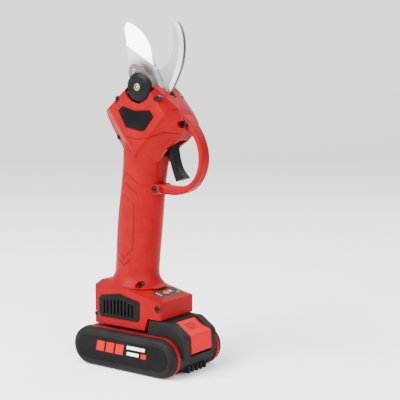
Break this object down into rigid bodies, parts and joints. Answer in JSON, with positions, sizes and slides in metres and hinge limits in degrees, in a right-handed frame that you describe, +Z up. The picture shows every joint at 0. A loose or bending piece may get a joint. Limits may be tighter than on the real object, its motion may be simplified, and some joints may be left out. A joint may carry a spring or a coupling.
{
  "type": "battery electric pruner",
  "caption": "Hand-held cordless pruner: hooked anvil, swinging blade, pistol grip with guarded trigger, slide-on battery pack as foot.",
  "frame": {"origin": "middle of the flat underside of the battery pack, where the tool stands", "axes": "+Z up, along the tool's height; +X towards the trigger side; -Y is the flank with the blade and the pivot cap"},
  "size_m": [0.1266, 0.0758, 0.3088],
  "materials": {
    "red_shell": "moulded satin red plastic",
    "black_shell": "moulded dark grey plastic, fine texture",
    "black_trim": "matt black plastic",
    "gloss_black": "smooth black",
    "trigger_black": "moulded satin black plastic",
    "red_button": "smooth red plastic",
    "blade_steel": "ground tool steel",
    "hook_steel": "satin forged steel with a polished edge",
    "gear_steel": "dark sintered steel",
    "bright_steel": "bright ground steel",
    "screw_steel": "black oxide steel",
    "bush_brass": "brass",
    "cast_alloy": "cast aluminium",
    "can_steel": "zinc-plated steel",
    "magnet": "ferrite",
    "rotor_steel": "lamination steel and copper",
    "circuit_board": "green circuit board",
    "copper_lead": "insulated wire",
    "nickel_strip": "nickel",
    "terminal": "black moulding with brass blades",
    "cell_wrap": "shrink-wrapped cell",
    "holder": "black moulded holder",
    "label": "printed plastic label",
    "window": "dark clear plastic",
    "spring_steel": "spring wire"
  },
  "bodies": {
    "casing": {"left_shell": "red_shell", "right_shell": "red_shell", "casing_screws": "screw_steel", "left_vent_grille": "black_trim", "right_vent_grille": "black_trim", "control_panel": "gloss_black", "display_window": "window", "panel_board": "circuit_board", "left_head_badge": "gloss_black", "right_head_badge": "gloss_black", "anvil_hook": "hook_steel", "hook_bolts": "bright_steel", "gear_frame": "cast_alloy", "shaft_bearing": "bright_steel", "pivot_bolt": "bright_steel", "pivot_nut": "bright_steel", "pivot_cap": "black_trim", "oiler_ring": "bush_brass", "oiler_ball": "bright_steel", "gearbox_housing": "can_steel", "motor_can": "can_steel", "motor_end_cap": "black_trim", "motor_magnets": "magnet", "control_board": "circuit_board", "motor_leads": "copper_lead", "battery_leads": "copper_lead", "terminal_block": "terminal", "trigger_pin": "bright_steel", "trigger_spring": "spring_steel", "trigger_sensor": "circuit_board"},
    "blade": {"moving_blade": "blade_steel", "blade_spacer": "gear_steel", "sector_gear": "gear_steel", "blade_bush": "bush_brass", "drive_pin": "bright_steel"},
    "output": {"output_shaft": "bright_steel", "bevel_pinion": "gear_steel", "second_planets": "gear_steel"},
    "first_stage": {"first_carrier": "bright_steel", "first_planets": "gear_steel"},
    "rotor": {"motor_rotor": "rotor_steel"},
    "trigger": {"trigger": "trigger_black", "trigger_magnet": "bright_steel"},
    "button": {"power_button": "red_button"},
    "battery": {"pack_top_shell": "black_shell", "pack_bottom_shell": "black_shell", "left_band": "red_shell", "right_band": "red_shell", "left_side_cap": "black_shell", "right_side_cap": "black_shell", "left_pack_label": "label", "right_pack_label": "label", "cells": "cell_wrap", "cell_holders": "holder", "cell_strips": "nickel_strip", "pack_board": "circuit_board", "pack_screws": "screw_steel", "latch_spring": "spring_steel"},
    "latch": {"latch_button": "red_button"}
  },
  "joints": [
    {"name": "blade_pivot", "type": "hinge", "parent": "casing", "child": "blade", "pos_m": [0.008, 0, 0.2512], "axis": [0, 1, 0], "range_deg": [0, 48]},
    {"name": "output_spin", "type": "hinge", "parent": "casing", "child": "output", "pos_m": [0.008, 0, 0.2512], "axis": [0.1245, 0, 0.9922], "range_deg": [-153.6, 0]},
    {"name": "first_stage_spin", "type": "hinge", "parent": "casing", "child": "first_stage", "pos_m": [0.008, 0, 0.2512], "axis": [0.1245, 0, 0.9922], "range_deg": [-691.2, 0]},
    {"name": "rotor_spin", "type": "hinge", "parent": "casing", "child": "rotor", "pos_m": [0.008, 0, 0.2512], "axis": [0.1245, 0, 0.9922], "range_deg": [-3110.4, 0]},
    {"name": "trigger_pull", "type": "hinge", "parent": "casing", "child": "trigger", "pos_m": [0.033, 0, 0.2095], "axis": [0, 1, 0], "range_deg": [0, 20], "stiffness_Nm_per_rad": 0.12, "springref_deg": -14.32},
    {"name": "button_press", "type": "slide", "parent": "casing", "child": "button", "axis": [-0.2554, 0, -0.9668], "range_m": [0, 0.0006], "stiffness_N_per_m": 800, "springref_m": -0.0005},
    {"name": "battery_slide", "type": "slide", "parent": "casing", "child": "battery", "axis": [1, 0, 0], "range_m": [0, 0.062]},
    {"name": "latch_press", "type": "slide", "parent": "battery", "child": "latch", "axis": [0, 0, -1], "range_m": [0, 0.004], "stiffness_N_per_m": 500, "springref_m": -0.003, "deforming": ["latch_spring"]}
  ],
  "couplings": [
    {"joint": "output_spin", "follows": "blade_pivot", "ratio": -3.2},
    {"joint": "first_stage_spin", "follows": "blade_pivot", "ratio": -14.4},
    {"joint": "rotor_spin", "follows": "blade_pivot", "ratio": -64.8}
  ]
}
